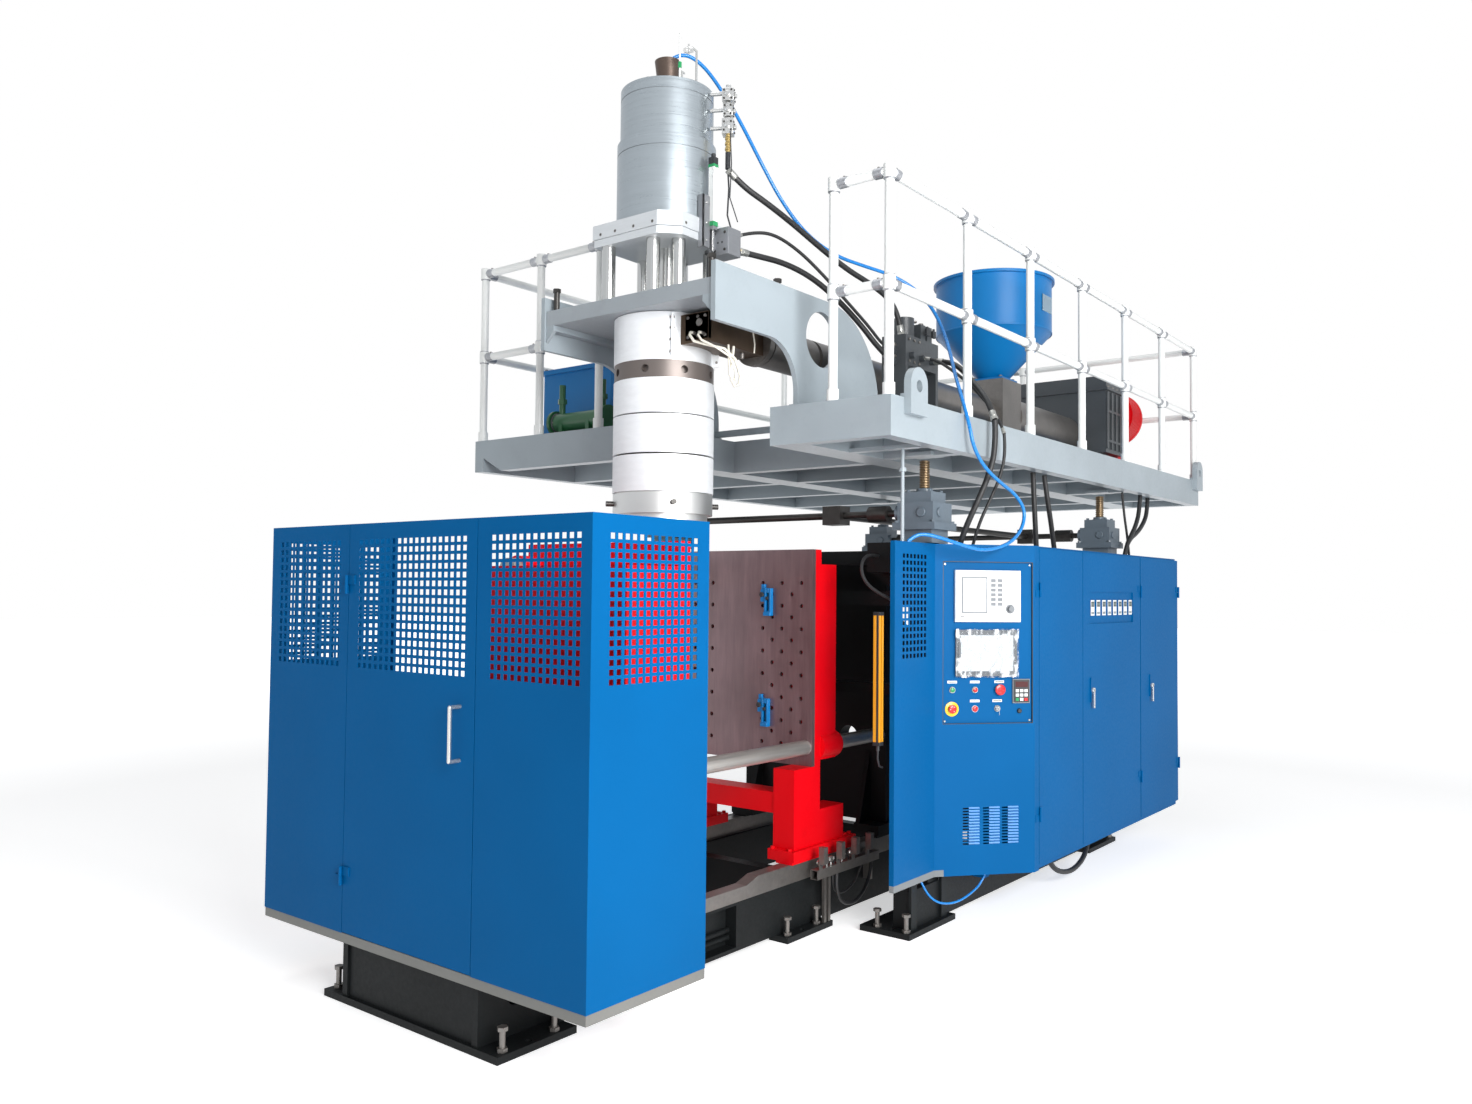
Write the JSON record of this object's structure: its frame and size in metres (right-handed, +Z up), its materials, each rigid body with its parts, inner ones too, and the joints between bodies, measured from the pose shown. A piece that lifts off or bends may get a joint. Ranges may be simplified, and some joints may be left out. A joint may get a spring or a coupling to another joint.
{
  "type": "blow moulding machine",
  "caption": "Blow moulding machine with an accumulator head and extruder on a lifting platform above a guarded platen clamp, with a control cabinet.",
  "frame": {"origin": "on the floor, at the centre of the clamp base's four anchor holes", "axes": "+X towards the motor end, +Y away from the operator's side, +Z up"},
  "size_m": [7.049, 3.3143, 4.6875],
  "materials": {
    "black_paint": "gloss black paint",
    "blue_paint": "semi-gloss blue paint",
    "red_paint": "gloss red paint",
    "gray_paint": "dark gray paint",
    "white_paint": "white paint",
    "yellow_paint": "yellow paint",
    "green_paint": "green paint",
    "steel": "machined steel",
    "chrome": "hard chrome",
    "gray_plastic": "pale gray plastic",
    "green_plastic": "green plastic",
    "red_plastic": "red plastic",
    "hose_rubber": "black rubber"
  },
  "bodies": {
    "base": {"clamp_base": "black_paint", "machine_frame": "black_paint", "leveling_bolts": "steel", "guide_rails": "steel", "guard_frame": "black_paint", "guard_panels": "blue_paint", "switch_tray": "black_paint", "light_curtain": "yellow_paint", "cabinet_shell": "blue_paint", "control_housing": "blue_paint", "operator_screens": "gray_plastic", "jack_housings": "gray_paint", "drive_shafts": "steel", "lift_hoses": "hose_rubber", "lower_hoses": "hose_rubber"},
    "guard_door": {"guard_door": "blue_paint", "door_handle": "chrome"},
    "cabinet_door_left": {"cabinet_door_left": "blue_paint"},
    "cabinet_door_middle": {"cabinet_door_middle": "blue_paint"},
    "cabinet_door_right": {"cabinet_door_right": "blue_paint"},
    "lock_handle_middle": {"lock_handle_middle": "steel"},
    "lock_handle_right": {"lock_handle_right": "steel"},
    "front_carriage": {"front_platen": "red_paint", "tie_bars": "chrome", "crosshead": "black_paint", "clamp_cylinder": "gray_paint"},
    "rear_carriage": {"rear_platen": "red_paint", "mould_plate": "steel", "mould_clamps": "blue_paint", "piston_rod": "chrome"},
    "start_button": {"start_button": "green_plastic"},
    "stop_button": {"stop_button": "red_plastic"},
    "mushroom_button": {"mushroom_button": "red_plastic"},
    "emergency_stop": {"emergency_stop": "red_plastic"},
    "key_switch": {"key_switch": "steel"},
    "program_knob": {"program_knob": "gray_plastic"},
    "lift": {"platform_frame": "black_paint", "railing": "white_paint", "jack_screws": "steel", "head_brackets": "black_paint", "head_plate": "steel", "cylinder_block": "steel", "shot_cylinder": "steel", "head_body": "steel", "heater_bands": "steel", "head_bolts": "steel", "melt_neck": "steel", "extruder_barrel": "steel", "extruder_base": "blue_paint", "gearbox": "gray_paint", "drive_motor": "red_paint", "hopper": "blue_paint", "oil_tank": "blue_paint", "oil_cooler": "green_paint", "valve_block": "gray_paint", "head_instruments": "chrome", "upper_hoses": "hose_rubber"},
    "extruder_screw": {"extruder_screw": "steel"},
    "shot_piston": {"shot_piston": "steel"},
    "die_mandrel": {"die_mandrel": "steel"}
  },
  "joints": [
    {"name": "guard_door_swing", "type": "hinge", "parent": "base", "child": "guard_door", "pos_m": [-1.19, 0.384, 1.2], "axis": [0, 0, -1], "range_deg": [0, 110]},
    {"name": "cabinet_door_left_swing", "type": "hinge", "parent": "base", "child": "cabinet_door_left", "pos_m": [2.033, -1.406, 1.18], "axis": [0, 0, -1], "range_deg": [0, 110]},
    {"name": "cabinet_door_middle_swing", "type": "hinge", "parent": "base", "child": "cabinet_door_middle", "pos_m": [3.7495, -1.406, 1.18], "axis": [0, 0, 1], "range_deg": [0, 110]},
    {"name": "cabinet_door_right_swing", "type": "hinge", "parent": "base", "child": "cabinet_door_right", "pos_m": [4.585, -1.406, 1.18], "axis": [0, 0, 1], "range_deg": [0, 110]},
    {"name": "lock_middle_turn", "type": "hinge", "parent": "cabinet_door_middle", "child": "lock_handle_middle", "pos_m": [2.827, -1.398, 1.217], "axis": [0, 1, 0], "range_deg": [0, 90]},
    {"name": "lock_right_turn", "type": "hinge", "parent": "cabinet_door_right", "child": "lock_handle_right", "pos_m": [3.95, -1.398, 1.18], "axis": [0, 1, 0], "range_deg": [0, 90]},
    {"name": "front_platen_slide", "type": "slide", "parent": "base", "child": "front_carriage", "axis": [1, 0, 0], "range_m": [0, 0.3]},
    {"name": "rear_platen_slide", "type": "slide", "parent": "base", "child": "rear_carriage", "axis": [-1, 0, 0], "range_m": [0, 0.3]},
    {"name": "start_button_press", "type": "slide", "parent": "base", "child": "start_button", "axis": [0.6425, 0.7663, 0], "range_m": [0, 0.005], "stiffness_N_per_m": 400},
    {"name": "stop_button_press", "type": "slide", "parent": "base", "child": "stop_button", "axis": [0.6425, 0.7663, 0], "range_m": [0, 0.005], "stiffness_N_per_m": 400},
    {"name": "mushroom_button_press", "type": "slide", "parent": "base", "child": "mushroom_button", "axis": [0.6425, 0.7663, 0], "range_m": [0, 0.005], "stiffness_N_per_m": 400},
    {"name": "emergency_stop_press", "type": "slide", "parent": "base", "child": "emergency_stop", "axis": [0.6425, 0.7663, 0], "range_m": [0, 0.005], "stiffness_N_per_m": 400},
    {"name": "key_turn", "type": "hinge", "parent": "base", "child": "key_switch", "pos_m": [1.8099, -1.24809, 1.17], "axis": [-0.6425, -0.7663, 0], "range_deg": [0, 90]},
    {"name": "program_knob_turn", "type": "hinge", "parent": "base", "child": "program_knob", "pos_m": [1.84043, -1.31285, 1.719], "axis": [-0.6425, -0.7663, 0], "continuous": true},
    {"name": "platform_lift", "type": "slide", "parent": "base", "child": "lift", "axis": [0, 0, 1], "range_m": [0, 0.25]},
    {"name": "screw_spin", "type": "hinge", "parent": "lift", "child": "extruder_screw", "pos_m": [0.76, -0.33, 3.127], "axis": [1, 0, 0], "continuous": true},
    {"name": "shot_stroke", "type": "slide", "parent": "lift", "child": "shot_piston", "axis": [0, 0, 1], "range_m": [0, 0.3]},
    {"name": "mandrel_stroke", "type": "slide", "parent": "lift", "child": "die_mandrel", "axis": [0, 0, 1], "range_m": [0, 0.03]}
  ],
  "couplings": [
    {"joint": "rear_platen_slide", "follows": "front_platen_slide", "ratio": 1}
  ]
}
